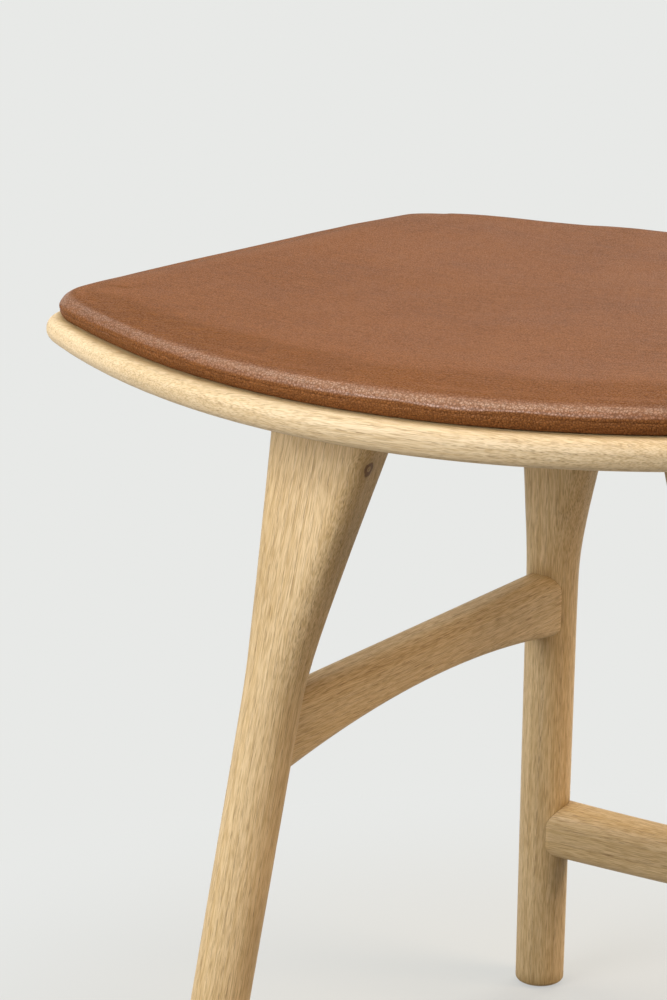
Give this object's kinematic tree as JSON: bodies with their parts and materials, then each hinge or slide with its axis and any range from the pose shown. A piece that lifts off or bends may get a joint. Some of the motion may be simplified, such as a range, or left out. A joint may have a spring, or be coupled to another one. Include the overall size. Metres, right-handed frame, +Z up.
{
  "type": "stool",
  "caption": "Low oak stool with a saddle-bent seat board, a fitted brown leather pad, splayed flared legs, arched side rails and a back stretcher.",
  "frame": {"origin": "on the floor, under the middle of the seat", "axes": "+Z up; X along the seat's length, left end towards -X; front edge towards -Y, back stretcher towards +Y"},
  "size_m": [0.4678, 0.4724, 0.4553],
  "materials": {
    "oak": "oiled",
    "leather": "semi-aniline",
    "plywood": "raw",
    "foam": "raw",
    "staple_wire": "galvanised",
    "screw_steel": "zinc plated",
    "dowel_beech": "raw",
    "felt": "pressed felt"
  },
  "bodies": {
    "root": {"seat_board": "oak", "leather_cover": "leather", "pad_base_panel": "plywood", "pad_foam": "foam", "hem_staples": "staple_wire", "pad_screws": "screw_steel", "leg_front_left": "oak", "leg_front_right": "oak", "leg_back_left": "oak", "leg_back_right": "oak", "leg_dowels": "dowel_beech", "leg_screws": "screw_steel", "side_rail_left": "oak", "side_rail_right": "oak", "rail_dowels": "dowel_beech", "back_stretcher": "oak", "stretcher_dowels": "dowel_beech", "foot_glide_front_left": "felt", "foot_glide_front_right": "felt", "foot_glide_back_left": "felt", "foot_glide_back_right": "felt"}
  },
  "joints": []
}
